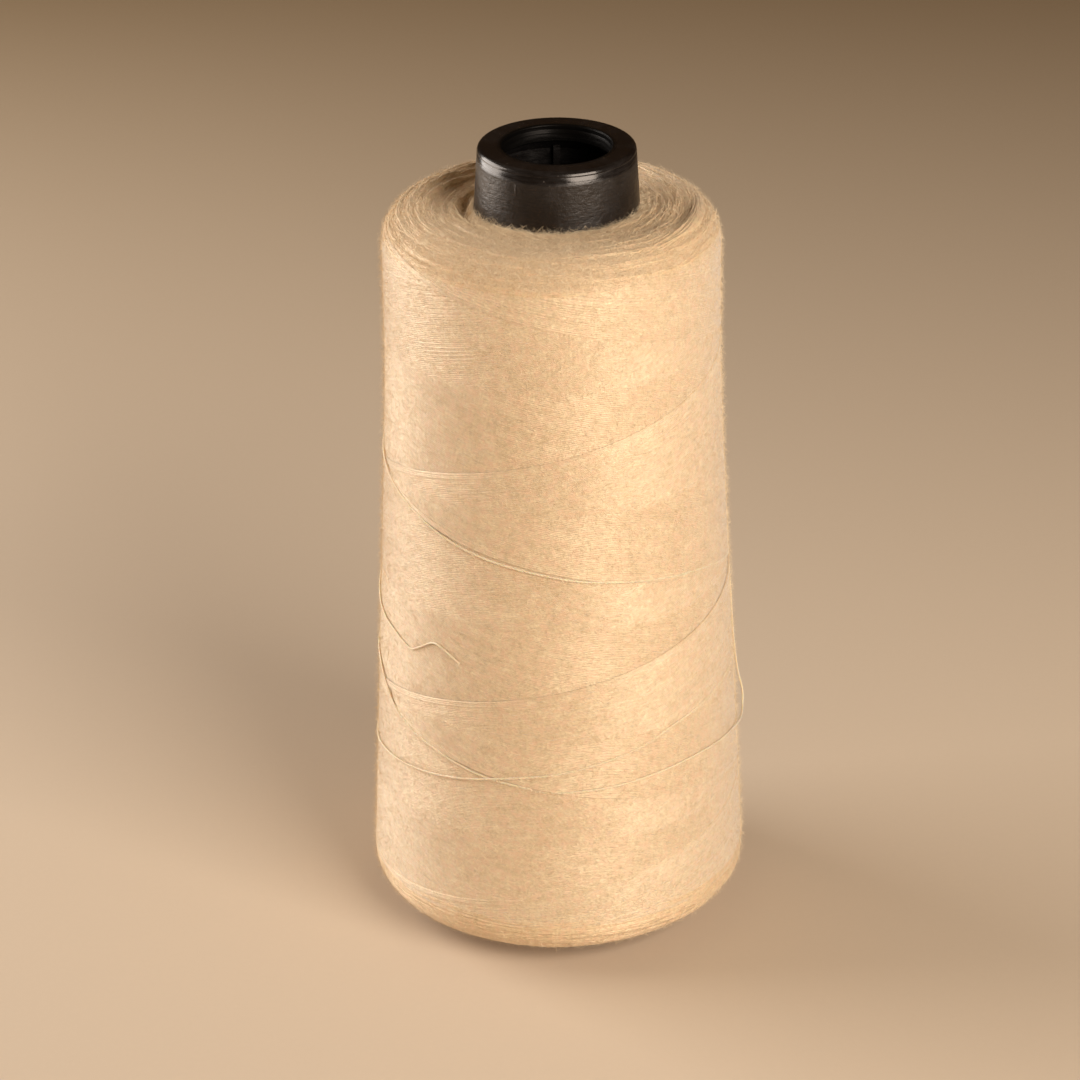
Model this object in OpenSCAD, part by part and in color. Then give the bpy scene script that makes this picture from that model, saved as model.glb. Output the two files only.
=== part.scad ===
// Cone of sewing thread: a moulded plastic cone with a cross-wound package of thread on it.
// Z runs up the cone's axis, the foot of the cone stands on Z = 0, and the nose is at the top.
// The thread is one strand. Its inner layers are one solid, its outer layer is wound over that,
// and its slack end lies loose round the package.

/* [Cone] */
// Height of the plastic cone
cone_h = 145; // [130:1:170]
// Outer diameter of the nose
nose_d = 27; // [26:0.5:32]
// Half angle of the cone, in degrees
taper = 3.5; // [3:0.25:4.5]
// Thickness of the wall
wall = 1.6; // [1.2:0.1:2.2]
// Diameter of the hole through the nose
bore_d = 18.8; // [16:0.2:20]
// Depth of the straight lip round that hole
lip_h = 2.6; // [2:0.1:4]
// Rounding of the nose's outer edge
nose_round = 0.9; // [0.4:0.1:1.4]
// Number of guide ribs inside the cone
rib_count = 6; // [3:1:10]
// Thickness of a guide rib
rib_w = 1.2; // [0.8:0.1:2]
// How far a guide rib stands in from the wall
rib_h = 1; // [0.6:0.1:1.6]
// Height of the stiffening ring inside the foot
foot_ring_h = 5; // [3:0.5:8]
// How much thicker than the wall that ring is
foot_ring_t = 0.8; // [0.4:0.1:1.2]
// Width of the notch in the foot, which grips a thread's end
notch_w = 1.2; // [0.8:0.1:2]
// Height of that notch
notch_h = 2.2; // [1:0.1:3]

/* [Thread package] */
// Height of the package's underside above the foot
package_low = 3.5; // [3:0.5:8]
// Length of bare nose above the package
nose_bare = 10.5; // [8:0.5:16]
// Radius of the package's nearly straight upper part
package_r = 29; // [27:0.5:34]
// Growth in radius for each millimetre down the lower part
flare = 0.05; // [0.03:0.005:0.06]
// Height at which the flare begins
waist_z = 105; // [80:1:110]
// Length over which the upper part blends into the flare
waist_blend = 9; // [4:1:20]
// Rounding of the package's shoulder
shoulder_round = 7; // [3:0.5:9]
// Rounding of the package's lower edge
hem_round = 5.7; // [3:0.1:7]
// Lean of the package off the cone's axis, in degrees: the thread lies thicker on the -X side
lean = 0.37; // [0:0.01:0.6]
// Shift of the package towards -X at the foot
shift = 0.2; // [0:0.05:0.5]

/* [Thread] */
// Diameter of the thread across its nap
thread_d = 0.35; // [0.3:0.01:0.4]
// Turns in one stroke of the traverse, rounded up
stroke_turns = 3; // [2:1:3]
// Height of the lower ends of the strokes
stroke_low = 11; // [11:0.5:16]
// Length of package left above the upper ends of the strokes
stroke_margin = 7; // [7:0.5:12]
// Angle at which the outer layer starts
start_angle = 150; // [0:5:355]
// Clear distance between strands of the outer layer where they cross
crossing_gap = 0.45; // [0.42:0.01:0.6]

/* [Hidden] */
$fn = 96;

black = [0.06, 0.06, 0.065];
thread_tan = [0.86, 0.70, 0.50];
strand_tan = [0.91, 0.77, 0.58];
tail_tan = [0.95, 0.83, 0.65];

past = 1;                    // how far a cutter reaches past what it cuts

// ---- Plastic cone ----

// Outer radius of the cone, and of its hollow, at height z
function cone_r(z) = nose_d / 2 + (cone_h - z) * tan(taper);
function hollow_r(z) = cone_r(z) - wall / cos(taper);

// Points of an arc about c, from angle a to angle b
function arc(c, r, a, b, steps) =
    [for (i = [0:steps]) let (q = a + (b - a) * i / steps) c + r * [cos(q), sin(q)]];

bore_r = bore_d / 2;
edge = 0.3;                  // softening of the bore's and the foot's edges
funnel_slope = 0.9;          // the lip's underside drops this much for each millimetre out
lip_z = cone_h - edge - lip_h;
funnel_z = lip_z - (hollow_r(lip_z) - bore_r) * funnel_slope;
ring_z = foot_ring_h + 2 * foot_ring_t;
foot_in_r = hollow_r(0) - foot_ring_t;
rib_z = foot_ring_h + 12;
rib_lead = 8;                // length of the slope at a rib's lower end

module wall_section() {
    nose_centre = [cone_r(cone_h - nose_round) - nose_round / cos(taper), cone_h - nose_round];
    polygon(concat(
        arc([cone_r(edge) - edge, edge], edge, -90, taper, 3),
        arc(nose_centre, nose_round, taper, 90, 8),
        arc([bore_r + edge, cone_h - edge], edge, 90, 180, 3),
        [
            [bore_r, lip_z],
            [hollow_r(funnel_z), funnel_z],
            [hollow_r(ring_z), ring_z],
            [hollow_r(foot_ring_h) - foot_ring_t, foot_ring_h],
            [foot_in_r, 0]
        ]
    ));
}

// A rib is rooted in the wall, slopes out of it at its lower end, and runs up into the lip
module rib_section() {
    root = wall / 2;
    polygon([
        [hollow_r(rib_z) + root, rib_z],
        [hollow_r(lip_z) + root, lip_z],
        [hollow_r(lip_z) - rib_h, lip_z],
        [hollow_r(rib_z + rib_lead) - rib_h, rib_z + rib_lead]
    ]);
}

module ribs() {
    intersection() {
        rotate_extrude() rib_section();
        for (i = [0:rib_count - 1])
            rotate([0, 0, (i + 0.5) * 360 / rib_count])
                translate([0, -rib_w / 2, 0]) cube([cone_r(0), rib_w, cone_h]);
    }
}

module notch() {
    from = foot_in_r - past;
    translate([-notch_w / 2, from, -past])
        cube([notch_w, cone_r(0) + past - from, notch_h + past]);
}

module cone_core() {
    color(black) difference() {
        union() {
            rotate_extrude() wall_section();
            ribs();
        }
        notch();
    }
}

// ---- Package of thread ----

package_top = cone_h - nose_bare;

// Outer radius of the package at height z: a straight upper part that blends into the flare
function package_side(z) =
    let (below = waist_z - z)
    package_r + flare * (below + sqrt(below * below + waist_blend * waist_blend)) / 2;

// A turn of the outer layer is a ring of straight chords. Between their ends they dip inwards by
// chord_dip, and the solid of the inner layers stays under them.
loop_rings = 24;
loop_sides = 6;
chord_dip = package_side(stroke_low) * (1 - cos(180 / loop_rings));
bedding = 0.03;
skin = thread_d + chord_dip + bedding;
side_steps = 16;

// Sets what it holds leaning the way the package leans
module leaning() {
    translate([-shift, 0, 0]) rotate([0, -lean, 0]) children();
}

module package_section() {
    low = package_low + hem_round;
    high = package_top - shoulder_round;
    polygon(concat(
        [[bore_r, package_low]],
        arc([package_side(low) - skin - hem_round, low], hem_round, -90, 0, 6),
        [for (i = [1:side_steps - 1])
            let (z = low + (high - low) * i / side_steps) [package_side(z) - skin, z]],
        arc([package_side(high) - skin - shoulder_round, high], shoulder_round, 0, 90, 7),
        [[bore_r, package_top]]
    ));
}

module thread_package() {
    color(thread_tan) difference() {
        leaning() rotate_extrude() package_section();
        translate([0, 0, -past])
            cylinder(h = cone_h + 2 * past, r1 = cone_r(-past), r2 = cone_r(cone_h + past));
    }
}

// ---- Strands ----

// The place of a point given by its angle, its height and its distance out from the package's side
function round_package(p) =
    let (r = package_side(p[1]) + p[2]) [r * cos(p[0]), r * sin(p[0]), p[1]];

function unit(v) = v / norm(v);
function sum(v) = v * [for (i = v) 1];

// A closed tube of triangles through the points. across has, for each point, a direction that
// isn't along the tube there.
module tube(points, across, sides) {
    last = len(points) - 1;
    rings = [
        for (i = [0:last])
            let (
                along = unit(points[min(i + 1, last)] - points[max(i - 1, 0)]),
                out = unit(cross(along, across[i])),
                side = cross(out, along)
            )
            for (k = [0:sides - 1])
                let (q = 360 * k / sides)
                points[i] + thread_d / 2 * (cos(q) * out + sin(q) * side)
    ];
    function at(i, k) = i * sides + k % sides;
    polyhedron(rings, concat(
        [for (i = [0:last - 1], k = [0:sides - 1]) [at(i, k), at(i + 1, k + 1), at(i + 1, k)]],
        [for (i = [0:last - 1], k = [0:sides - 1]) [at(i, k), at(i, k + 1), at(i + 1, k + 1)]],
        [for (k = [1:sides - 2]) [at(0, 0), at(0, k + 1), at(0, k)]],
        [for (k = [1:sides - 2]) [at(last, 0), at(last, k), at(last, k + 1)]]
    ));
}

// The slack end of the thread, from the outer layer's last turn to the cut end. Each point has
// its angle, its height, and how far its centre is out from the package's side.
tail_route = [
    [262, 37.2, -0.18], [267, 36.9, -0.1], [275, 37, 0.2], [289, 37.4, 0.3], [303, 37.9, 0.3],
    [318, 38, 0.3], [331, 37.3, 0.3], [345, 36, 0.4], [356, 34.6, 1], [362, 35.2, 1.5],
    [365, 37.6, 1.7], [365, 42, 1.2], [364, 50, 1], [363, 58, 0.9], [364, 65, 0.6],
    [369, 71, 0.5], [382, 74.5, 0.4], [400, 76.6, 0.4], [421, 76.8, 0.4], [440, 75, 0.4],
    [465, 72, 0.4], [488, 69.4, 0.4], [510, 67, 0.4], [530, 63.5, 0.4], [545, 60.9, 0.3],
    [558, 59.9, 0.3], [566, 59.5, 0.3], [573, 58.7, 0.3], [577, 58.6, 0.3], [581.5, 60, 0.3],
    [586, 61.6, 0.3], [589, 61.9, 0.3], [593, 61.1, 0.3], [598, 59.7, 0.3]
];
tail_rings = 80;
tail_sides = 8;

// The smooth curve through the points p, at u from 0 at the first to 1 at the last
function curve(p, u) =
    let (
        last = len(p) - 1,
        i = min(floor(u * last), last - 1),
        f = u * last - i,
        a = p[max(i - 1, 0)],
        b = p[i],
        c = p[i + 1],
        d = p[min(i + 2, last)]
    )
    b + f / 2 * ((c - a) + f * ((2 * a - 5 * b + 4 * c - d) + f * (3 * b - a - 3 * c + d)));

tail_points = [for (i = [0:tail_rings - 1]) round_package(curve(tail_route, i / (tail_rings - 1)))];

module thread_tail() {
    outward = [for (p = tail_points) [p[0], p[1], 0]];
    color(tail_tan) leaning() tube(tail_points, outward, tail_sides);
}

// Cross winding. The strand goes round one way all the time, while the traverse takes it up and
// down in eight strokes. A stroke is an eighth of a turn short of whole turns, so strokes in the
// same direction lie side by side, and strokes that meet cross every eighth of a turn.
strokes = 8;
stroke_eighths = 8 * stroke_turns - 1;
stroke_high = package_top - stroke_margin;
softness = 0.995;            // under 1, it rounds the ends of the strokes

// Height of the strand, a number of turns from its start
function traverse_z(turns) =
    let (swing = asin(softness * cos(180 * 8 * turns / stroke_eighths)) / asin(softness))
    (stroke_high + stroke_low) / 2 - swing * (stroke_high - stroke_low) / 2;

// Whether the strand, a number of eighths of a turn from its start, lies over an earlier stroke
function crosses_over(eighths) =
    len([
        for (k = [1:strokes - 1])
            let (earlier = 2 * k * stroke_eighths - eighths)
            if ((k * stroke_eighths - eighths) % 4 == 0 && earlier >= 0 && earlier < eighths) k
    ]) > 0;

rings_per_eighth = loop_rings / 8;
function strand_lift(i) =
    i % rings_per_eighth == 0 && crosses_over(i / rings_per_eighth) ? thread_d + crossing_gap : 0;

function strand_point(i) =
    let (turns = i / loop_rings)
    round_package([start_angle + 360 * turns, traverse_z(turns), strand_lift(i) - thread_d / 2]);

// The strand rises square out of the inner layers, bends round, winds up and down, and ends
// straight where its slack end begins
rise_at = round_package([start_angle, stroke_low, -skin]);
rise_out = [cos(start_angle), sin(start_angle), 0];
rise_way = [-sin(start_angle), cos(start_angle), 0];
rise_bend = 0.3;
end_at = tail_points[0];
end_way = unit(tail_points[1] - end_at);
whole_turns = floor((strokes - 0.25) * stroke_eighths / 8);
end_turns = whole_turns + (tail_route[0][0] - start_angle) / 360;
last_ring = ceil(end_turns * loop_rings) - 1;

winding_points = concat(
    [rise_at],
    [for (q = [0, 45, 90])
        rise_at + (thread_d + rise_bend * sin(q)) * rise_out + rise_bend * (1 - cos(q)) * rise_way],
    [for (i = [1:last_ring]) strand_point(i)],
    [end_at - thread_d * end_way, end_at]
);

module outer_winding() {
    upward = [for (p = winding_points) [0, 0, 1]];
    color(strand_tan) leaning() tube(winding_points, upward, loop_sides);
}

// Least clear distance between stretches of the outer layer that are half a turn or more apart
function least_gap(p) =
    min([
        for (i = [0:len(p) - 1])
            for (j = [i + loop_rings / 2:1:len(p) - 1]) norm(p[i] - p[j])
    ]) - thread_d;

cone_core();
thread_package();
outer_winding();
thread_tail();

echo(outer_winding_turns = end_turns);
echo(outer_winding_least_gap_mm = least_gap(winding_points));
echo(tail_length_mm = sum([for (i = [1:tail_rings - 1]) norm(tail_points[i] - tail_points[i - 1])]));
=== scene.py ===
"""Looks of the cone of sewing thread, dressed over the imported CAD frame.

Thread sizes and places are in millimetres and degrees, and become metres where a mesh is made.
"""

import math

import bpy
import numpy as np
from mathutils import Matrix, Vector


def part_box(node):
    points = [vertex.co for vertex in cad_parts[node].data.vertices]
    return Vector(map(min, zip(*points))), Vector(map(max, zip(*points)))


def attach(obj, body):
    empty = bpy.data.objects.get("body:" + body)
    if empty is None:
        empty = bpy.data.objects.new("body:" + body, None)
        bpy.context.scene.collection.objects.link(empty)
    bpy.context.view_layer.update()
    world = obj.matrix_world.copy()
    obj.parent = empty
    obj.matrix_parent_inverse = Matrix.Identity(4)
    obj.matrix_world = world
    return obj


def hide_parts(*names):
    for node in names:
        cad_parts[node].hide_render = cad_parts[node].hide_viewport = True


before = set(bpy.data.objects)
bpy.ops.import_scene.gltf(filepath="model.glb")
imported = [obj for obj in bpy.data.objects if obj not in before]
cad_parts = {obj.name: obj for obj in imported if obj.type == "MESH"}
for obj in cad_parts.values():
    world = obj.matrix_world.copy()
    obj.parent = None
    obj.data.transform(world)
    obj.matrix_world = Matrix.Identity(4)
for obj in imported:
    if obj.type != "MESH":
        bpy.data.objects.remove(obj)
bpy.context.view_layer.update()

MM = 0.001
BODY = "root"

# ---- The package's shape, as in the part ----

CORE_LOW, CORE_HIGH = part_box("cone_core")
CONE_H = (CORE_HIGH.z - CORE_LOW.z) / MM
NOSE_R = 13.5
TAPER = math.radians(3.5)
NOSE_BARE = 10.5
PACKAGE_LOW = 3.5
PACKAGE_TOP = CONE_H - NOSE_BARE
PACKAGE_R = 29.0
FLARE = 0.05
WAIST_Z = 105.0
WAIST_BLEND = 9.0
SHOULDER_ROUND = 7.0
HEM_ROUND = 5.7
LEAN = math.radians(0.37)
SHIFT = 0.2
THREAD_D = 0.35
PLY_TWIST = 1.4
# Hollows of the top face: radius, width, depth, the angle at which each is deepest, and how far
# on either side of that it is gone.
HOLLOWS = [(18.3, 2.1, 0.9, 140, 110), (15.0, 1.3, 2.4, 168, 75), (22.7, 1.1, 0.75, 350, 30)]
# The top face lies lower within its rim: how far, and between which radii it sinks.
SINK, SINK_FROM_R, SINK_TO_R = 0.3, 23.0, 20.0
# The thread stands up unevenly against the nose: how far, at which radius and over which width.
NOSE_CREEP, CREEP_R, CREEP_WIDTH = 0.4, 14.8, 1.0


def core_radius(z):
    return NOSE_R + (CONE_H - z) * math.tan(TAPER)


def side_radius(z):
    below = WAIST_Z - z
    return PACKAGE_R + FLARE * (below + np.sqrt(below**2 + WAIST_BLEND**2)) / 2


def package_profile():
    """The package's outline from the core's foot out, up the side and in to the nose, as radius
    and height by the length along it, in steps of about a fifth of a millimetre."""
    step, into_core = 0.2, 1.0
    low, high = PACKAGE_LOW + HEM_ROUND, PACKAGE_TOP - SHOULDER_ROUND
    hem_r, shoulder_r = side_radius(low) - HEM_ROUND, side_radius(high) - SHOULDER_ROUND
    under_r = np.arange(core_radius(PACKAGE_LOW) - into_core, hem_r, step)
    hem = np.radians(np.arange(-90, 0, math.degrees(step / HEM_ROUND)))
    side_z = np.arange(low, high, step)
    shoulder = np.radians(np.arange(0, 90, math.degrees(step / SHOULDER_ROUND)))
    top_r = np.arange(shoulder_r, core_radius(PACKAGE_TOP) - into_core, -step)
    r = np.concatenate([under_r, hem_r + HEM_ROUND * np.cos(hem), side_radius(side_z),
                        shoulder_r + SHOULDER_ROUND * np.cos(shoulder), top_r])
    z = np.concatenate([np.full(len(under_r), PACKAGE_LOW), low + HEM_ROUND * np.sin(hem), side_z,
                        high + SHOULDER_ROUND * np.sin(shoulder), np.full(len(top_r), PACKAGE_TOP)])
    along = np.concatenate([[0], np.cumsum(np.hypot(np.diff(r), np.diff(z)))])
    return along, r, z


ALONG, PROFILE_R, PROFILE_Z = package_profile()
slope_r, slope_z = np.gradient(PROFILE_R, ALONG), np.gradient(PROFILE_Z, ALONG)
OUT_R, OUT_Z = slope_z, -slope_r
ON_SIDE = (PROFILE_Z > PACKAGE_LOW + 1) & (PROFILE_Z < PACKAGE_TOP - 1)


def along_at(z):
    """The length along the outline at which its side, hem or shoulder reaches height z."""
    return np.interp(z, PROFILE_Z[ON_SIDE], ALONG[ON_SIDE])


def ramp(x, low, high):
    """0 at low, 1 at high, smooth between."""
    t = np.clip((x - low) / (high - low), 0, 1)
    return t * t * (3 - 2 * t)


def top_along(radius):
    """The length along the outline at which the top face has this radius."""
    return ALONG[-1] - (radius - PROFILE_R[-1])


def away_from(middle, angle):
    """How many degrees angle is away from middle, on either side."""
    return np.abs((angle - middle + 180) % 360 - 180)


def settled(angle, along):
    """How far the thread of the top face lies below the outline, in its hollows and between."""
    depth = SINK * ramp(along, top_along(SINK_FROM_R), top_along(SINK_TO_R))
    for radius, width, deep, middle, reach in HOLLOWS:
        across = (along - top_along(radius)) / width
        depth = depth + deep * np.exp(-across**2) * ramp(away_from(middle, angle), reach, 0.0)
    turned = np.radians(angle)
    waves = np.sin(9 * turned + 1) + np.sin(17 * turned + 4 * np.sin(3 * turned))
    creep = np.exp(-((along - top_along(CREEP_R)) / CREEP_WIDTH) ** 2)
    return depth - NOSE_CREEP * creep * (0.3 + 0.3 * waves)


def leaned(points):
    """The thread leans off the cone's axis, towards -X."""
    x, y, z = points[..., 0], points[..., 1], points[..., 2]
    return np.stack([x * math.cos(LEAN) - z * math.sin(LEAN) - SHIFT, y,
                     x * math.sin(LEAN) + z * math.cos(LEAN)], axis=-1)


def on_package(angle, along, out):
    """The point at an angle in degrees, a length along the outline and a distance out of it,
    and the outward direction there."""
    angle = np.radians(angle)
    across, up = np.interp(along, ALONG, OUT_R), np.interp(along, ALONG, OUT_Z)
    radius = np.interp(along, ALONG, PROFILE_R) + out * across
    point = np.stack([radius * np.cos(angle), radius * np.sin(angle),
                      np.interp(along, ALONG, PROFILE_Z) + out * up], axis=-1)
    outward = np.stack([across * np.cos(angle), across * np.sin(angle), up + 0 * angle], axis=-1)
    return leaned(point), outward


# ---- Meshes ----

def make_piece(name, points, faces, material, uv):
    """A piece from points in millimetres and from arrays of faces, each with its own number of
    corners. uv has, for each point, the length along the strand in millimetres, and the strand's
    number plus the share of the way round it."""
    mesh = bpy.data.meshes.new(name)
    corners = np.concatenate([f.ravel() for f in faces])
    sizes = np.concatenate([np.full(len(f), f.shape[1]) for f in faces])
    mesh.vertices.add(len(points))
    mesh.vertices.foreach_set("co", (points * MM).astype(np.float32).ravel())
    mesh.loops.add(len(corners))
    mesh.loops.foreach_set("vertex_index", corners.astype(np.int32))
    mesh.polygons.add(len(sizes))
    starts = np.concatenate([[0], np.cumsum(sizes)[:-1]])
    mesh.polygons.foreach_set("loop_start", starts.astype(np.int32))
    mesh.polygons.foreach_set("use_smooth", np.ones(len(sizes), bool))
    mesh.update(calc_edges=True)
    layer = mesh.uv_layers.new(name="strand")
    layer.data.foreach_set("uv", uv[corners].astype(np.float32).ravel())
    mesh.materials.append(material)
    piece = bpy.data.objects.new(name, mesh)
    bpy.context.scene.collection.objects.link(piece)
    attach(piece, BODY)
    return piece


def unit(v):
    return v / np.linalg.norm(v, axis=-1, keepdims=True)


def lengths(centres):
    """The length from the first ring to each ring, for strands of shape (strands, rings, 3)."""
    steps = np.linalg.norm(np.diff(centres, axis=1), axis=-1)
    return np.concatenate([np.zeros((len(centres), 1)), np.cumsum(steps, axis=1)], axis=1)


def strand_mesh(centres, outward, radius, angles, first=0, flat=1.0):
    """Points, faces and uv of strands of shape (strands, rings, 3), whose section has its corners
    at angles from outward. flat is its height for its width."""
    n, m, k = centres.shape[0], centres.shape[1], len(angles)
    tangent = unit(np.gradient(centres, axis=1))
    side = unit(np.cross(tangent, outward))
    out = np.cross(side, tangent)
    q = np.radians(angles)
    radius = np.broadcast_to(radius, (n, m))
    section = (flat * np.cos(q)[:, None] * out[:, :, None, :]
               + np.sin(q)[:, None] * side[:, :, None, :])
    points = centres[:, :, None, :] + radius[:, :, None, None] * section
    index = np.arange(n * m * k).reshape(n, m, k)
    near, far = index[:, :, :-1], index[:, :, 1:]
    quads = np.stack([near[:, :-1], near[:, 1:], far[:, 1:], far[:, :-1]], axis=-1)
    number = first + np.arange(n)
    u = np.broadcast_to(lengths(centres)[:, :, None], (n, m, k))
    v = np.broadcast_to(number[:, None, None] + 0.5 + q / (2 * math.pi), (n, m, k))
    return points.reshape(-1, 3), [quads.reshape(-1, 4)], np.stack([u, v], axis=-1).reshape(-1, 2)


def smooth_path(route, count):
    """The points of a smooth curve through a route of [angle, height, out], evenly spaced."""
    route = np.asarray(route, float)
    p = np.vstack([route[0], route, route[-1]])
    t = np.linspace(0, len(route) - 1, 40 * len(route))
    i = np.minimum(t.astype(int), len(route) - 2)
    f = (t - i)[:, None]
    a, b, c, d = p[i], p[i + 1], p[i + 2], p[i + 3]
    fine = b + f / 2 * ((c - a) + f * ((2 * a - 5 * b + 4 * c - d) + f * (3 * b - a - 3 * c + d)))
    place, _ = on_package(fine[:, 0], along_at(fine[:, 1]), fine[:, 2])
    gone = lengths(place[None])[0]
    even = np.linspace(0, gone[-1], count)
    return np.stack([np.interp(even, gone, fine[:, j]) for j in range(3)], axis=-1)


# ---- Materials ----

class Nodes:
    """Short calls for a material's node tree."""

    def __init__(self, name):
        self.material = bpy.data.materials.new(name)
        self.material.use_nodes = True
        self.tree = self.material.node_tree
        self.shader = self.tree.nodes["Principled BSDF"]

    def add(self, kind, **inputs):
        node = self.tree.nodes.new(kind)
        for key, value in inputs.items():
            if key in node.inputs:
                self.put(node.inputs[key], value)
            else:
                setattr(node, key, value)
        return node

    def put(self, socket, value):
        if isinstance(value, bpy.types.NodeSocket):
            self.tree.links.new(value, socket)
        else:
            socket.default_value = value

    def math(self, operation, a, b=0.0):
        node = self.add("ShaderNodeMath", operation=operation)
        self.put(node.inputs[0], a)
        self.put(node.inputs[1], b)
        return node.outputs[0]

    def total(self, *terms):
        """The sum of values, each times its share."""
        parts = [self.math("MULTIPLY", value, share) for value, share in terms]
        result = parts[0]
        for part in parts[1:]:
            result = self.math("ADD", result, part)
        return result

    def faded(self, value, mask, share):
        """The value, less by a share of it where the mask is 1."""
        kept = self.math("SUBTRACT", 1.0, self.math("MULTIPLY", mask, share))
        return self.math("MULTIPLY", value, kept)

    def vector(self, operation, *vectors, **inputs):
        node = self.add("ShaderNodeVectorMath", operation=operation, **inputs)
        for socket, value in zip(node.inputs, vectors):
            self.put(socket, value)
        return node.outputs["Vector"]

    def mix(self, share, a, b):
        node = self.tree.nodes.new("ShaderNodeMix")
        node.data_type = "RGBA"
        self.put(node.inputs["Factor"], share)
        self.put(node.inputs["A"], a)
        self.put(node.inputs["B"], b)
        return node.outputs["Result"]

    def noise(self, where, scale, detail=2.0, rough=0.5):
        node = self.add("ShaderNodeTexNoise", Scale=scale, Detail=detail, Roughness=rough)
        self.put(node.inputs["Vector"], where)
        return node.outputs["Fac"]

    def band(self, value, low, high):
        """0 below low, 1 above high, straight between."""
        node = self.add("ShaderNodeMapRange")
        for socket, number in zip(("From Min", "From Max"), (low, high)):
            node.inputs[socket].default_value = number
        self.put(node.inputs["Value"], value)
        return node.outputs["Result"]

    def set(self, **inputs):
        for key, value in inputs.items():
            self.put(self.shader.inputs[key.replace("_", " ")], value)


# How far a thread's fibres, which lie along it, turn its surface aside.
FIBRE_TILT = 7.5


def strand_place(n):
    """The strand uv, and its two numbers: the length along the strand in millimetres, and the
    strand's number plus the share of the way round it."""
    uv = n.add("ShaderNodeUVMap", uv_map="strand").outputs["UV"]
    split = n.add("ShaderNodeSeparateXYZ", Vector=uv)
    return uv, split.outputs["X"], split.outputs["Y"]


def own_number(n, v):
    """A random number from 0 to 1 for each strand."""
    number = n.math("FLOOR", v)
    return n.add("ShaderNodeTexWhiteNoise", noise_dimensions="1D", W=number).outputs["Value"]


def thread_colour(n, place, u, v, light, dark, pink):
    """Flecks and patches from dark to light, with a pinker blush, a shade for each strand, and the
    painted shade and highlight of each ply's twist."""
    wound = n.math("SUBTRACT", n.math("DIVIDE", u, PLY_TWIST), v)
    # A faint painted shade and highlight along the twist of the two plies, in the colour.
    ply_painted_shading = n.math("COSINE", n.math("MULTIPLY", wound, 4 * math.pi))
    flecks = n.noise(place, 1700.0, 4.0, 0.65)
    patches = n.noise(place, 420.0, 3.0, 0.6)
    shade = n.total((flecks, 0.6), (patches, 0.4), (own_number(n, v), 0.08), (ply_painted_shading, 0.025))
    colour = n.mix(n.band(shade, 0.38, 0.7), (*dark, 1), (*light, 1))
    blush = n.band(n.noise(place, 760.0, 3.0, 0.6), 0.44, 0.62)
    return n.mix(n.math("MULTIPLY", blush, 0.75), colour, (*pink, 1))


def thread_normal(n, place, u, v):
    """The surface's direction, turned aside across the strand by its fibres, with fuzz on it."""
    lengthwise, round_it = n.math("MULTIPLY", u, 0.6), n.math("MULTIPLY", v, 40.0)
    where = n.add("ShaderNodeCombineXYZ", X=lengthwise, Y=round_it).outputs[0]
    fibres = n.math("SUBTRACT", n.noise(where, 1.0, 3.0, 0.7), 0.5)
    out = n.add("ShaderNodeNewGeometry").outputs["Normal"]
    along = n.add("ShaderNodeTangent", direction_type="UV_MAP", uv_map="strand").outputs["Tangent"]
    across = n.vector("CROSS_PRODUCT", out, along)
    aside = n.vector("SCALE", across, Scale=n.math("MULTIPLY", fibres, FIBRE_TILT))
    fuzz = n.noise(place, 1500.0, 1.0, 0.5)
    bump = n.add("ShaderNodeBump", Strength=0.8, Distance=0.0001, Height=fuzz)
    n.put(bump.inputs["Normal"], n.vector("NORMALIZE", n.vector("ADD", out, aside)))
    return bump.outputs["Normal"]


def thread_material(name, light, dark, pink, soft=0.0, sheen=0.85):
    """Spun two-ply thread. soft is how far light gets about inside it, and sheen how much its nap
    catches the light."""
    n = Nodes(name)
    _, u, v = strand_place(n)
    place = n.add("ShaderNodeTexCoord").outputs["Object"]
    colour = thread_colour(n, place, u, v, light, dark, pink)
    n.set(Base_Color=colour, Roughness=0.44, Normal=thread_normal(n, place, u, v))
    n.set(Specular_IOR_Level=1.0, IOR=1.85, Specular_Tint=(1.0, 0.85, 0.62, 1))
    n.set(Sheen_Weight=sheen, Sheen_Roughness=0.5, Sheen_Tint=(0.95, 0.95, 0.95, 1))
    n.set(Subsurface_Weight=soft, Subsurface_Radius=(1.0, 0.5, 0.25), Subsurface_Scale=0.0005)
    return n.material


def nap_material(name, light, dark):
    """Single fibres, each of its own shade."""
    n = Nodes(name)
    uv, _, v = strand_place(n)
    shade = n.total((own_number(n, v), 0.7), (n.noise(uv, 3.0, 2.0), 0.3))
    n.set(Base_Color=n.mix(shade, (*dark, 1), (*light, 1)), Roughness=0.9, Specular_IOR_Level=0.2)
    return n.material


THREAD = thread_material("spun_thread", light=(0.93, 0.735, 0.465), dark=(0.62, 0.43, 0.225),
                         pink=(0.845, 0.56, 0.35))
# The loose strands are the same thread, coloured lighter as painted light, for where they lie proud and
# catch the lamps.
LOOSE_THREAD_PAINTED_LIGHTER = thread_material("loose_thread_painted_lighter", light=(0.95, 0.77, 0.52), dark=(0.8, 0.61, 0.37),
                               pink=(0.9, 0.66, 0.43), soft=0.6)
# The ends and the fold are the same thread, in a warmer copy of its colours with a lighter light end:
# painted light and shade for how the lamps fall on the end faces.
END_THREAD_PAINTED_WARM = thread_material("end_thread_painted_warm", light=(0.96, 0.74, 0.45), dark=(0.62, 0.42, 0.21),
                             pink=(0.86, 0.56, 0.335), sheen=0.3)
NAP = nap_material("nap", light=(0.97, 0.83, 0.61), dark=(0.68, 0.49, 0.28))


BORE_R = 9.4
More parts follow.
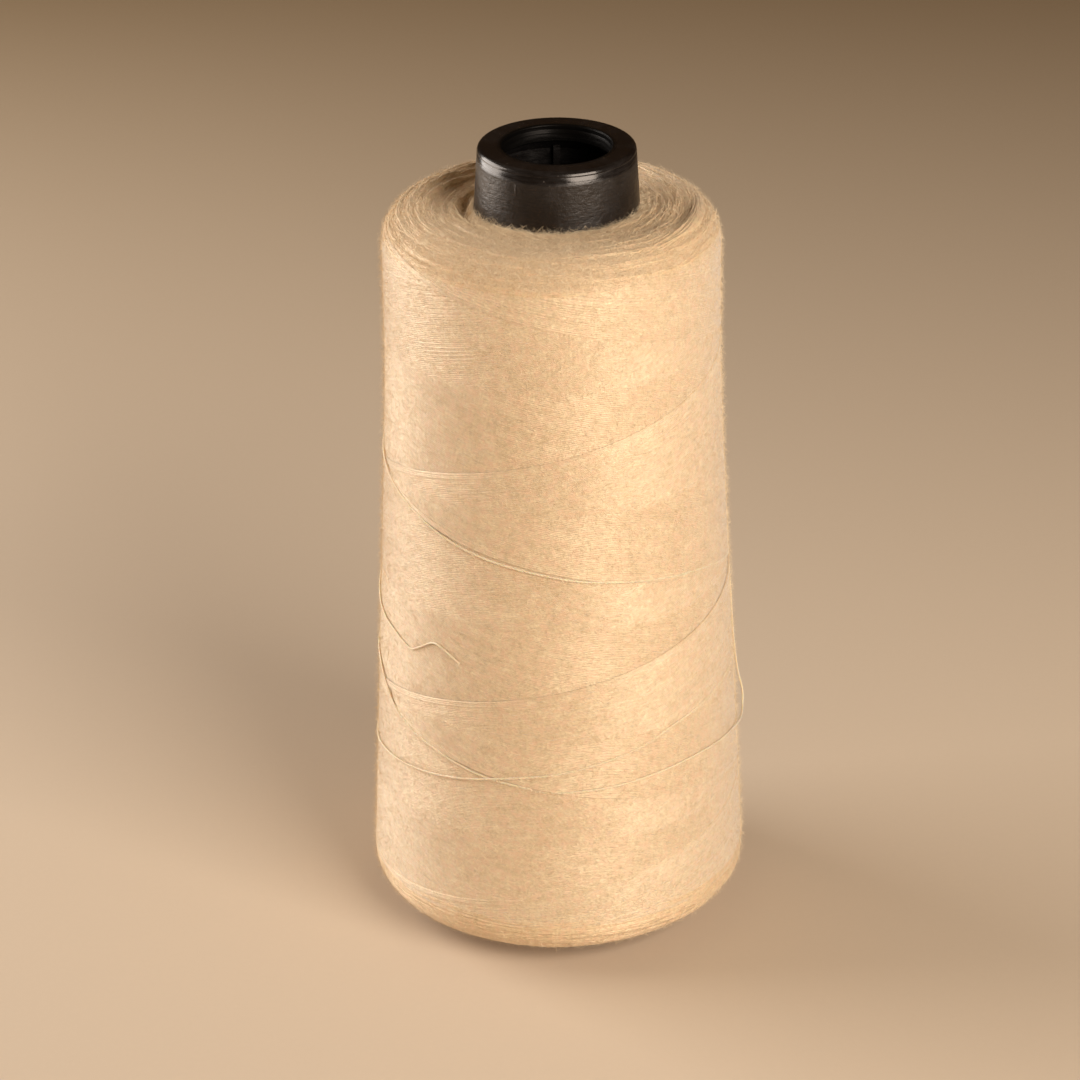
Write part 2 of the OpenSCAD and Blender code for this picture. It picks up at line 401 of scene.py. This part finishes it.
# The nose's edge is drawn in softly below its rounding, between these depths and with this radius.
RIM_SOFT_LOW, RIM_SOFT_HIGH, RIM_SOFT_R = 2.1, 0.9, 2.6
RIM_BLEND = 0.3
# A faint step runs round it, at this depth and with this half width.
STEP_DEPTH, STEP_HALF = 2.3, 0.3
# The angle of the mould line.
MOULD_LINE = 240.0


def below_top(n, z, none_at, full_at):
    """0 at one depth below the nose's top in millimetres, 1 at the other."""
    return n.band(z, (CONE_H - none_at) * MM, (CONE_H - full_at) * MM)


def round_streaks(n, angle, z, waves_round, waves_up, detail, rough=0.5):
    """Streaks that run round the cone."""
    x, up = n.math("MULTIPLY", angle, waves_round), n.math("MULTIPLY", z, waves_up)
    where = n.add("ShaderNodeCombineXYZ", X=x, Z=up).outputs[0]
    return n.noise(where, 1.0, detail, rough)


def mould_line(n, angle, z):
    """A short line down the side, from a little below the nose's edge."""
    off = n.math("ABSOLUTE", n.math("SUBTRACT", angle, math.radians(MOULD_LINE - 360)))
    line = n.math("MULTIPLY", n.band(off, 0.02, 0.0), below_top(n, z, 5.0, 4.0))
    return n.math("MULTIPLY", line, below_top(n, z, 2.4, 3.0))


def faint_step(n, z, clouds):
    off = n.math("ABSOLUTE", n.math("SUBTRACT", z, (CONE_H - STEP_DEPTH) * MM))
    return n.math("MULTIPLY", n.band(off, STEP_HALF * MM, 0.0), clouds)


def soft_rim(n, z):
    """The surface's direction, drawn in towards the nose's edge."""
    above = n.math("SUBTRACT", z, (CONE_H - RIM_SOFT_LOW) * MM)
    above = n.math("MINIMUM", n.math("MAXIMUM", above, 0.0), (RIM_SOFT_LOW - RIM_SOFT_HIGH) * MM)
    height = n.math("MULTIPLY", n.math("MULTIPLY", above, above), -0.5 / (RIM_SOFT_R * MM))
    return n.add("ShaderNodeBump", Strength=1.0, Distance=1.0, Height=height).outputs["Normal"]


def core_colour(n, place, mottle, clouds, scuffs, inside):
    """Black with its mottle, scuffs and dust, and a darker black in the bore, which is painted shade."""
    specks = n.add("ShaderNodeTexVoronoi", Scale=700.0, Vector=place).outputs["Distance"]
    dust = n.math("MULTIPLY", n.band(specks, 0.1, 0.03), n.band(clouds, 0.5, 0.62))
    black = n.mix(mottle, (0.0025, 0.002, 0.002, 1), (0.007, 0.006, 0.006, 1))
    scuffed = n.mix(n.math("MULTIPLY", scuffs, 0.12), black, (0.07, 0.062, 0.06, 1))
    dusty = n.mix(n.math("MULTIPLY", dust, 0.4), scuffed, (0.3, 0.26, 0.22, 1))
    # In the bore the colour goes to a darker black: painted shade.
    return n.mix(inside, dusty, (0.002, 0.0017, 0.0015, 1))


def core_material():
    """Black moulded plastic: satin, mottled by its mould, scratched and dusty, with a mould line
    down the side and turning marks in the bore. In the bore it is painted darker and its
    reflection is dimmed: painted shade."""
    n = Nodes("black_moulding")
    place = n.add("ShaderNodeTexCoord").outputs["Object"]
    split = n.add("ShaderNodeSeparateXYZ", Vector=place)
    x, y, z = (split.outputs[axis] for axis in "XYZ")
    radius = n.math("SQRT", n.math("ADD", n.math("MULTIPLY", x, x), n.math("MULTIPLY", y, y)))
    angle = n.math("ARCTAN2", y, x)
    inside = n.band(radius, (BORE_R + 1.0) * MM, (BORE_R + 0.2) * MM)
    rim = below_top(n, z, RIM_SOFT_LOW + RIM_BLEND, RIM_SOFT_LOW - RIM_BLEND)
    mottle = n.noise(place, 900.0, 4.0, 0.65)
    clouds = n.noise(place, 150.0, 3.0, 0.6)
    streaks = round_streaks(n, angle, z, 5.0, 2200.0, 4.0, 0.6)
    turned = n.math("MULTIPLY", round_streaks(n, angle, z, 1.5, 2600.0, 2.0), inside)
    scuffs = n.band(n.total((streaks, 0.6), (clouds, 0.4)), 0.48, 0.66)

    rough = n.math("ADD", n.total((mottle, 0.15), (clouds, 0.25), (scuffs, 0.12)), 0.15)
    rough = n.math("ADD", n.faded(rough, rim, 0.5), n.math("MULTIPLY", inside, 0.2))
    height = n.faded(n.total((mottle, 0.75), (streaks, 0.4)), rim, 0.85)
    height = n.total((height, 1.0), (turned, 0.5), (mould_line(n, angle, z), 0.3),
                     (faint_step(n, z, clouds), 0.15))
    bump = n.add("ShaderNodeBump", Strength=0.9, Distance=0.00018, Height=height)
    n.put(bump.inputs["Normal"], soft_rim(n, z))
    n.set(Base_Color=core_colour(n, place, mottle, clouds, scuffs, inside), Roughness=rough)
    n.set(Normal=bump.outputs["Normal"])
    # In the bore the reflection is dimmed, which is painted shade.
    n.set(Specular_IOR_Level=n.faded(0.6, inside, 0.85), Specular_Tint=(1.0, 0.9, 0.82, 1))
    return n.material


def dress_core():
    core = bpy.data.objects["cone_core"]
    for slot in core.material_slots:
        slot.material = core_material()


dress_core()


# ---- Camera, at the photograph's angle ----

CAMERA_AIM = Vector((-3.3, -1.0, 70.5)) * MM
CAMERA_FROM = Vector((0.0, -597.4, 372.6)) * MM
CAMERA_ROLL = math.radians(0.41)
CAMERA_LENS = 125.4


def make_camera():
    data = bpy.data.cameras.new("camera")
    data.sensor_width, data.lens = 36.0, CAMERA_LENS
    camera = bpy.data.objects.new("camera", data)
    facing = (CAMERA_AIM - CAMERA_FROM).to_track_quat("-Z", "Y").to_matrix().to_4x4()
    turned = facing @ Matrix.Rotation(-CAMERA_ROLL, 4, "Z")
    camera.matrix_world = Matrix.Translation(CAMERA_FROM) @ turned
    bpy.context.scene.collection.objects.link(camera)
    bpy.context.scene.camera = camera


make_camera()


# ---- The slack end of the thread ----

TAIL_ROUTE = [
    [262, 37.2, -0.18], [267, 36.9, -0.1], [275, 37, 0.2], [289, 37.4, 0.3], [303, 37.9, 0.3],
    [318, 38, 0.3], [331, 37.3, 0.3], [345, 36, 0.4], [356, 34.6, 1], [362, 35.2, 1.5],
    [365, 37.6, 1.7], [365.6, 42, 1.0], [365, 50, 0.45], [364, 58, 0.3], [365, 65, 0.15],
    [369.5, 71, 0.3], [382, 74.5, 0.4], [400, 76.6, 0.4], [421, 76.8, 0.4], [440, 75, 0.4],
    [465, 72, 0.4], [488, 69.4, 0.4], [510, 67, 0.4], [530, 63.5, 0.4], [545, 60.9, 0.3],
    [558, 59.9, 0.3], [566, 59.5, 0.3], [573, 58.7, 0.3], [577, 58.6, 0.3], [581.5, 60, 0.3],
    [586, 61.6, 0.3], [589, 61.9, 0.3], [593, 61.1, 0.3], [598, 59.7, 0.3],
]
PLY_SIDES = 10
RINGS_PER_MM = 8
NAP_SINK = 0.12


def twisted_thread(name, route, first, thick=THREAD_D):
    """A two-ply thread along a route, sunk a little into the nap: two plies side by side, which
    turn about each other."""
    rough = smooth_path(route, 400)
    place, _ = on_package(rough[:, 0], along_at(rough[:, 1]), rough[:, 2])
    whole = lengths(place[None])[0, -1]
    rings = smooth_path(route, int(whole * RINGS_PER_MM))
    centres, outward = on_package(rings[:, 0], along_at(rings[:, 1]), rings[:, 2] - NAP_SINK)
    gone = lengths(centres[None])[0]
    side = np.linspace(0, 2 * math.pi, PLY_SIDES, endpoint=False)
    tangent = unit(np.gradient(centres, axis=0))
    across = unit(np.cross(tangent, outward))
    out = np.cross(across, tangent)
    turn = 2 * math.pi * gone / PLY_TWIST
    lobes = thick / 2 * (1.0 + 0.15 * np.cos(2 * side))
    angle = side[None, :] + turn[:, None]
    section = np.cos(angle)[..., None] * out[:, None] + np.sin(angle)[..., None] * across[:, None]
    points = centres[:, None] + lobes[None, :, None] * section
    index = np.arange(points.shape[0] * PLY_SIDES).reshape(-1, PLY_SIDES)
    after = np.roll(index, -1, axis=1)
    quads = np.stack([index[:-1], index[1:], after[1:], after[:-1]], axis=-1).reshape(-1, 4)
    uv = np.stack([np.broadcast_to(gone[:, None], angle.shape),
                   np.broadcast_to(first + side / (2 * math.pi), angle.shape)], axis=-1)
    piece = make_piece(name, points.reshape(-1, 3), [quads, index[:1], index[-1:, ::-1]],
                       LOOSE_THREAD_PAINTED_LIGHTER, uv.reshape(-1, 2))
    return piece, centres, whole


def make_tail():
    tail, centres, whole = twisted_thread("thread_end", TAIL_ROUTE, 9000)
    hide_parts("thread_tail")


make_tail()


# ---- Floor and light ----

FLOOR_COLOUR = (0.622, 0.496, 0.365)
# Towards the back the floor is painted darker, standing in for the lamps' light falling off.
FLOOR_PAINTED_FALLOFF_COLOUR = (0.33, 0.232, 0.132)
FLOOR_PAINTED_FALLOFF_FROM, FLOOR_PAINTED_FALLOFF_TO = 0.05, 0.52


def floor_material():
    """Matt card with a faint random tone, painted darker towards the back: painted falloff of the light.
    """
    n = Nodes("floor_card")
    place = n.add("ShaderNodeTexCoord").outputs["Object"]
    back = n.add("ShaderNodeSeparateXYZ", Vector=place).outputs["Y"]
    # Painted light falloff: darker towards the back.
    shade = n.math("POWER", n.band(back, FLOOR_PAINTED_FALLOFF_FROM, FLOOR_PAINTED_FALLOFF_TO), 1.6)
    shade = n.math("ADD", shade, n.math("MULTIPLY", n.noise(place, 900.0, 2.0), 0.05))
    n.set(Base_Color=n.mix(shade, (*FLOOR_COLOUR, 1), (*FLOOR_PAINTED_FALLOFF_COLOUR, 1)), Roughness=0.8)
    return n.material


def make_floor():
    """A floor that sweeps up into a backdrop far behind."""
    half, back, radius, height, arc = 3.0, 2.0, 1.0, 2.5, 16
    turn = np.radians(np.linspace(0, 90, arc + 1))
    y = np.concatenate([[-half], back + radius * np.sin(turn), [back + radius]])
    z = np.concatenate([[0.0], radius * (1 - np.cos(turn)), [height]])
    points = [(x, y[i], z[i]) for i in range(len(y)) for x in (-half, half)]
    faces = [(2 * i, 2 * i + 1, 2 * i + 3, 2 * i + 2) for i in range(len(y) - 1)]
    mesh = bpy.data.meshes.new("floor")
    mesh.from_pydata(points, [], faces)
    mesh.polygons.foreach_set("use_smooth", np.ones(len(faces), bool))
    mesh.materials.append(floor_material())
    floor = bpy.data.objects.new("floor", mesh)
    bpy.context.scene.collection.objects.link(floor)


LIT_MIDDLE = Vector((0.0, 0.0, 0.07))


def soft_light(name, azimuth, elevation, distance, size, watts, colour):
    """A square lamp that faces the cone, at angles in degrees from +X and from the floor, and a
    distance and size in metres."""
    data = bpy.data.lights.new(name, "AREA")
    data.shape, data.size, data.energy, data.color = "SQUARE", size, watts, colour
    around, up = math.radians(azimuth), math.radians(elevation)
    away = Vector((math.cos(up) * math.cos(around), math.cos(up) * math.sin(around), math.sin(up)))
    light = bpy.data.objects.new(name, data)
    light.location = LIT_MIDDLE + distance * away
    light.rotation_euler = away.to_track_quat("Z", "Y").to_euler()
    bpy.context.scene.collection.objects.link(light)


def make_light():
    soft_light("front_right", azimuth=308, elevation=26, distance=0.7, size=0.45, watts=5.9,
               colour=(1.0, 0.93, 0.85))
    soft_light("back_left", azimuth=163, elevation=16, distance=0.68, size=0.55, watts=6.5,
               colour=(1.0, 0.955, 0.915))
    world = bpy.data.worlds.new("studio")
    world.use_nodes = True
    background = world.node_tree.nodes["Background"]
    background.inputs["Color"].default_value = (1.0, 0.66, 0.38, 1)
    background.inputs["Strength"].default_value = 0.13
    bpy.context.scene.world = world
    bpy.context.scene.view_settings.view_transform = "Standard"


make_floor()
make_light()


# ---- The outer layer, wound as the machine winds it ----

# The thread goes round one way while the traverse takes it up and down, three turns a stroke.
# Each double stroke starts a little further round, so that strands lie side by side, and the
# newest lies over the others where they cross.
DOUBLE_STROKES = 128
STROKE_TURNS = 3.0
NEWEST_TOP = 186.8
TRAVERSE_LOW, TRAVERSE_HIGH = 10.3, 130.7
TRAVERSE_SOFT = 0.995
TRAVERSE_SAG = 0.11
RINGS_PER_TURN = 96
RIDGE = (-98, -33, 33, 98)
STRAND_WIDTH, STRAND_FLAT = 0.4, 0.85
LAYER_STEP = 0.2
DIVE = 0.045
# The last strands to be wound lie proud of the others, and more so where they come round the left.
NEWEST = 3
EDGE_PROUD = 0.075
NEWEST_PROUD, PROUD_AT, PROUD_REACH, PROUD_FULL = 0.08, 222, 45, 15
# Bunches where every other strand lies proud: angle, height, and -1 for rising ones, 1 for falling.
BUNCHES = [(233, 117, -1), (232, 29, 1), (222, 33, 1)]
BUNCH_PROUD, BUNCH_DEGREES, BUNCH_HEIGHT = 0.13, 17, 1.5
# Near its turning points the layer lies smoother.
CALM = 0.85
# A stroke turns back a little before or after the others.
REACH_SPREAD, REACH_SHORT = 0.15, 0.25


def traverse_height(turns):
    """Height of the strand, a number of turns before or after it turned back at the top."""
    swing = np.arcsin(TRAVERSE_SOFT * np.cos(math.pi * turns / STROKE_TURNS))
    share = 0.5 + 0.5 * swing / math.asin(TRAVERSE_SOFT)
    share = share - TRAVERSE_SAG * share * (1 - share)
    return TRAVERSE_LOW + (TRAVERSE_HIGH - TRAVERSE_LOW) * share


def over_share(turns, age, rising):
    """1 where a strand of the outer layer lies over the ones that it crosses, 0 where it lies
    under them. On every half turn it crosses them all, from the newest to the oldest or back."""
    crossed = (2 * turns) % 1.0
    if rising:
        return ramp(crossed, age, age + DIVE) * (1 - ramp(crossed, 1 - DIVE, 1))
    return ramp(crossed, 0, DIVE) * (1 - ramp(crossed, 1 - age - DIVE, 1 - age))


def wander(random, turns, waves):
    """A small smooth random drift for each stroke, between about -1 and 1."""
    drift = 0
    for wave in waves:
        phase = random.uniform(0, 2 * math.pi, (DOUBLE_STROKES, 1))
        drift = drift + np.sin(2 * math.pi * wave * turns + phase)
    return drift / len(waves)


def stroke_height(random, turns, reach):
    """The height of each stroke, which wavers a little."""
    ends = np.abs(np.cos(math.pi * turns / STROKE_TURNS)) ** 40
    short = REACH_SHORT * random.uniform(0, 1, (DOUBLE_STROKES, 1))
    return traverse_height(turns) + ends * (reach - short) + 0.035 * wander(random, turns, (1.3, 3.1, 7.7))


def stroke_out(random, way, age, turns, angle, height):
    """How far out of the package's surface the middle of each stroke lies."""
    over = over_share(turns, age, way < 0)
    calm = 1 - CALM * np.abs(np.cos(math.pi * turns / STROKE_TURNS)) ** 3
    out = -STRAND_FLAT * STRAND_WIDTH / 2 - LAYER_STEP * (1 - over) * calm
    out = out + 0.02 * calm * wander(random, turns, (2.3, 9.1))
    proud = EDGE_PROUD + NEWEST_PROUD * ramp(away_from(PROUD_AT, angle), PROUD_REACH, PROUD_FULL)
    out = out + proud * (age < (NEWEST - 0.5) / DOUBLE_STROKES)
    for middle, level, their_way in BUNCHES:
        aside, above = away_from(middle, angle) / BUNCH_DEGREES, (height - level) / BUNCH_HEIGHT
        bunch = np.exp(-(aside**2) - above**2)
        out[::2] = out[::2] + BUNCH_PROUD * (way == their_way) * bunch[::2]
    return out


def make_winding():
    random = np.random.default_rng(7)
    age = (np.arange(DOUBLE_STROKES) / DOUBLE_STROKES)[:, None]
    turns = np.linspace(0, STROKE_TURNS, int(STROKE_TURNS * RINGS_PER_TURN) + 1)[None, :]
    reach = random.normal(0, REACH_SPREAD, (DOUBLE_STROKES, 1))
    half = DOUBLE_STROKES // 2
    for word, way, first in (("rising", -1, 1000), ("falling", 1, 2000)):
        angle = NEWEST_TOP + 360 * age + way * 360 * turns
        height = stroke_height(random, turns, reach)
        out = stroke_out(random, way, age, turns, angle, height)
        centres, outward = on_package(angle, along_at(height), out)
        if way < 0:
            centres, outward = centres[:, ::-1], outward[:, ::-1]
        for part, rows in (("newer", slice(0, half)), ("older", slice(half, None))):
            mesh = strand_mesh(centres[rows], outward[rows], STRAND_WIDTH / 2, RIDGE,
                               first=first + rows.start, flat=STRAND_FLAT)
            piece = make_piece(f"{word}_strands_{part}", mesh[0], mesh[1], THREAD, mesh[2])
            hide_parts("outer_winding")


make_winding()


# ---- The inner layers, seen in the gaps and at the package's ends ----

BED_DEPTH, BED_DEPTH_AT_ENDS = 0.36, 0.24
# Heights between which the bed comes up, towards the top and towards the foot.
BED_UP_AT_TOP, BED_UP_AT_FOOT = (96.0, 116.0), (40.0, 25.0)
BED_COLUMNS, BED_ROW = 180, 1.0


def make_bed():
    """The closed surface that the outer layers lie on."""
    rows = np.append(np.arange(0, ALONG[-1], BED_ROW), ALONG[-1])
    angle = np.arange(BED_COLUMNS) * 360 / BED_COLUMNS
    angles, lengthwise = np.meshgrid(angle, rows)
    near_top = ramp(lengthwise, *along_at(np.array(BED_UP_AT_TOP)))
    near_end = near_top + ramp(lengthwise, *along_at(np.array(BED_UP_AT_FOOT)))
    depth = BED_DEPTH + (BED_DEPTH_AT_ENDS - BED_DEPTH) * near_end
    points, _ = on_package(angles, lengthwise, -depth - settled(angles, lengthwise))
    index = np.arange(len(rows) * BED_COLUMNS).reshape(-1, BED_COLUMNS)
    after = np.roll(index, -1, axis=1)
    following = np.roll(index, -1, axis=0)
    after_following = np.roll(after, -1, axis=0)
    quads = np.stack([index, after, after_following, following], axis=-1).reshape(-1, 4)
    round_it = np.radians(angles) * np.interp(lengthwise, ALONG, PROFILE_R)
    uv = np.stack([round_it, lengthwise / THREAD_D], axis=-1)
    bed = make_piece("inner_layers", points.reshape(-1, 3), [quads], THREAD,
                     uv.reshape(-1, 2))
    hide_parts("thread_package")


make_bed()


def relief(random, terms, shortest):
    """A smooth random height by angle and length along the outline: long waves round the
    package, short ones across."""
    parts = [(random.integers(0, 12), shortest * random.uniform(1.0, 2.6),
              random.uniform(0, 2 * math.pi)) for _ in range(terms)]

    def height(angle, along):
        total = 0
        for around, length, phase in parts:
            total = total + np.sin(around * np.radians(angle) + 2 * math.pi * along / length + phase)
        return total / math.sqrt(terms)

    return height


LOOP_WIDTH, LOOP_FLAT = 0.44, 0.9
LOOP_RINGS = 33
LOOP_DIVE = 0.6
# On this side handling has matted the ends.
MATTED_AT, MATTED_SHARE = 262, 0.6


def loop_paths(random, way, low, high, count):
    """The angles of arcs and their lengths along the outline, which drift and waver a little.
    way goes from -1 at one end of an arc to 1 at the other."""
    apex = random.uniform(0, 360, (count, 1))
    span = random.uniform(16, 42, (count, 1)) * random.choice([1.0, 1.6], (count, 1))
    home = random.uniform(low, high, (count, 1))
    drift = random.normal(0, 0.35, (count, 1))
    wave = random.uniform(0, 2 * math.pi, (count, 1))
    along = home + drift * way + 0.16 * np.sin(5 * way + wave) + 0.09 * np.sin(17 * way + 2 * wave)
    return apex + span * way, along


def make_end_loops(name, low, high, count, seed, first, rise, shortest):
    """The places where the thread turned back, layer on layer: arcs that come up out of an end
    face between two lengths along the outline, run round it and dive again. rise is the height of
    the face's ridges, and shortest the least distance between them."""
    random = np.random.default_rng(seed)
    ridges = relief(random, 18, shortest)
    way = np.linspace(-1, 1, LOOP_RINGS)[None, :]
    angle, along = loop_paths(random, way, low, high, count)
    proud = random.uniform(-0.25, 0.1, (count, 1))
    matted = MATTED_SHARE * np.clip(np.cos(np.radians(angle - MATTED_AT)), 0, 1)
    out = (rise * ridges(angle, along) + proud) * (1 - matted)
    out = out - THREAD_D / 2 - LOOP_DIVE * np.abs(way) ** 3
    along = np.clip(along, 0.3, ALONG[-1] - 0.3)
    centres, outward = on_package(angle, along, out - settled(angle, along))
    half = count // 2
    for part, rows in (("early", slice(0, half)), ("late", slice(half, None))):
        mesh = strand_mesh(centres[rows], outward[rows], LOOP_WIDTH / 2, RIDGE,
                           first=first + rows.start, flat=LOOP_FLAT)
        make_piece(f"{name}_{part}", mesh[0], mesh[1], END_THREAD_PAINTED_WARM, mesh[2])


make_end_loops("top_loops", along_at(129.5), ALONG[-1] - 0.8, count=1500, seed=11, first=3000,
               rise=0.2, shortest=1.1)
make_end_loops("foot_loops", 1.2, along_at(11.0), count=1100, seed=12, first=5000,
               rise=0.12, shortest=2.2)


FOLD_ANGLE, FOLD_R, FOLD_COUNT = 345, 25.2, 26
FOLD_HEIGHT, FOLD_ROOT = 0.75, 0.5


def make_fold():
    """A bunch of turns that has slipped up over the shoulder, at the right."""
    random = np.random.default_rng(15)
    way = np.linspace(-1, 1, 41)[None, :]
    across = np.sort(random.uniform(-1, 1, (FOLD_COUNT, 1)), axis=0)
    middle = FOLD_ANGLE + random.normal(0, 4, (FOLD_COUNT, 1))
    angle = middle + random.uniform(26, 40, (FOLD_COUNT, 1)) * way
    hump = 1 - np.abs(way) ** 2.5
    along = top_along(FOLD_R) + 1.1 * across + 0.12 * np.sin(6 * way + 3 * across)
    out = FOLD_HEIGHT * np.sqrt(np.clip(1 - 0.8 * across**2, 0, 1)) * hump - FOLD_ROOT
    out = out - settled(angle, along) * (1 - hump)
    centres, outward = on_package(angle, along - 1.2 * (1 - hump), out)
    mesh = strand_mesh(centres, outward, LOOP_WIDTH / 2, RIDGE, first=7000)
    make_piece("shoulder_fold", mesh[0], mesh[1], END_THREAD_PAINTED_WARM, mesh[2])


make_fold()


# ---- Strands that stand out on the surface ----

LAST_TURNS = [
    [150, 92.6, -0.3], [172, 91.2, 0.0], [194, 88.7, 0.22], [216, 85.3, 0.25], [232, 82.6, 0.2],
    [248, 80.5, 0.16], [265, 78.7, 0.1], [277, 77.3, 0.07], [290, 76.2, 0.03], [308, 74.6, 0.02],
    [327, 72.7, 0.02], [349, 69.7, 0.02], [380, 66, 0.1], [420, 61.8, 0.1], [460, 57.8, 0.1],
    [500, 53.8, 0.1], [530, 51.2, 0.15], [551, 49.3, 0.25], [569, 44.2, 0.24], [589, 41.2, 0.2],
    [606, 38.9, 0.12], [620, 37.7, 0.0], [622, 37.2, -0.18],
]
RISING_STRAY = [
    [150, 30.5, -0.35], [172, 31.9, 0.0], [188, 33.1, 0.22], [205.5, 34.4, 0.25], [223.5, 35.9, 0.22],
    [239, 37.4, 0.22], [253, 39.1, 0.24], [269, 40.5, 0.14], [280, 41.7, 0.06], [297, 43.7, 0.04],
    [308, 45.6, 0.04], [322.5, 47, 0.04], [337, 47.9, 0.04], [351.4, 48.6, 0.04], [372, 50, -0.1],
    [392, 51.8, -0.35],
]
STRAY_D = 0.42


def make_strays():
    twisted_thread("last_turns", LAST_TURNS, 9100, STRAY_D)
    twisted_thread("rising_stray", RISING_STRAY, 9200, STRAY_D)


make_strays()


# ---- Nap: the fibre ends that stand out of spun thread ----

FIBRE_RINGS = 6
FIBRE_ROOT = 0.06
ROUTE_SPOTS = 2000


def make_nap(name, seed, count, spots, length, lift, lying, thick):
    """Fibres at spots, which gives each an angle and a length along the outline. A lying fibre
    bows over the strands, both ends down, and a standing one lifts off at its free end. length is
    the middle one, lift is the greatest, and all sizes are in millimetres."""
    random = np.random.default_rng(seed)
    angle, along = spots(random, count)
    t = np.linspace(0, 1, FIBRE_RINGS)[None, :]
    size = length * random.uniform(0.5, 1.5, (count, 1))
    heading = random.normal(0, 1.0, (count, 1)) + random.normal(0, 2.0, (count, 1)) * t
    step = size / (FIBRE_RINGS - 1)
    sideways = np.cumsum(step * np.cos(heading), axis=1) * random.choice([-1, 1], (count, 1))
    upward = np.cumsum(step * np.sin(heading), axis=1)
    height = lift * random.uniform(0.1, 1.0, (count, 1)) ** 1.3
    rise = np.sin(math.pi * t) if lying else t**1.4 * (1.3 - 0.3 * t)
    start = np.interp(along, ALONG, PROFILE_R)[:, None]
    angles = angle[:, None] + np.degrees(sideways / start)
    alongs = np.clip(along[:, None] + upward, 0.2, ALONG[-1] - 0.1)
    out = height * rise - FIBRE_ROOT - settled(angles, alongs)
    centres, outward = on_package(angles, alongs, out)
    if not lying:
        outward = outward + random.normal(0, 1.5, (count, 1, 3))
    thin = thick / 2 * (1.05 - 0.75 * t)
    mesh = strand_mesh(centres, outward, thin, (-90, 90), first=0)
    make_piece(name, mesh[0], mesh[1], NAP, mesh[2])


def side_spots(random, count):
    low, high = along_at(5.0), along_at(PACKAGE_TOP - 1.5)
    return random.uniform(0, 360, count), random.uniform(low, high, count)


def top_spots(random, count):
    matted = random.uniform(0, 1, count) < 0.45
    angle = np.where(matted, random.normal(MATTED_AT, 42, count), random.uniform(0, 360, count))
    return angle, random.uniform(along_at(130.0), ALONG[-1] - 0.2, count)


def loose_spots(random, count):
    """On the threads that lie loose."""
    routes = [smooth_path(route, ROUTE_SPOTS) for route in (TAIL_ROUTE, LAST_TURNS, RISING_STRAY)]
    spots = np.concatenate(routes)[random.integers(0, len(routes) * ROUTE_SPOTS, count)]
    along = along_at(spots[:, 1]) + random.uniform(-0.2, 0.2, count)
    return spots[:, 0], along


def nose_spots(random, count):
    return random.uniform(0, 360, count), ALONG[-1] - 0.9 - random.uniform(0, 1.3, count)


def foot_spots(random, count):
    return random.uniform(0, 360, count), random.uniform(0.5, along_at(8.0), count)


def make_all_nap():
    for part in range(2):
        make_nap(f"lying_nap_{part}", 20 + part, 15000, side_spots,
                 length=1.4, lift=0.14, lying=True, thick=0.042)
        make_nap(f"top_nap_{part}", 34 + part, 15000, top_spots,
                 length=1.5, lift=0.45, lying=True, thick=0.045)
    for part in range(3):
        make_nap(f"standing_nap_{part}", 30 + part, 16000, side_spots,
                 length=1.8, lift=1.2, lying=False, thick=0.036)
    for part in range(4):
        make_nap(f"short_nap_{part}", 50 + part, 18000, side_spots,
                 length=0.4, lift=0.9, lying=False, thick=0.034)
    make_nap("top_standing_nap", 38, 14000, top_spots, length=1.1, lift=1.0, lying=False, thick=0.04)
    make_nap("nose_nap", 40, 4500, nose_spots, length=2.4, lift=1.6, lying=False, thick=0.045)
    make_nap("foot_nap", 41, 6000, foot_spots, length=1.6, lift=0.7, lying=False, thick=0.035)
    make_nap("loose_nap", 42, 4500, loose_spots, length=1.0, lift=0.45, lying=True, thick=0.035)


make_all_nap()


def corners(box):
    return [list(box[0]), list(box[1])]
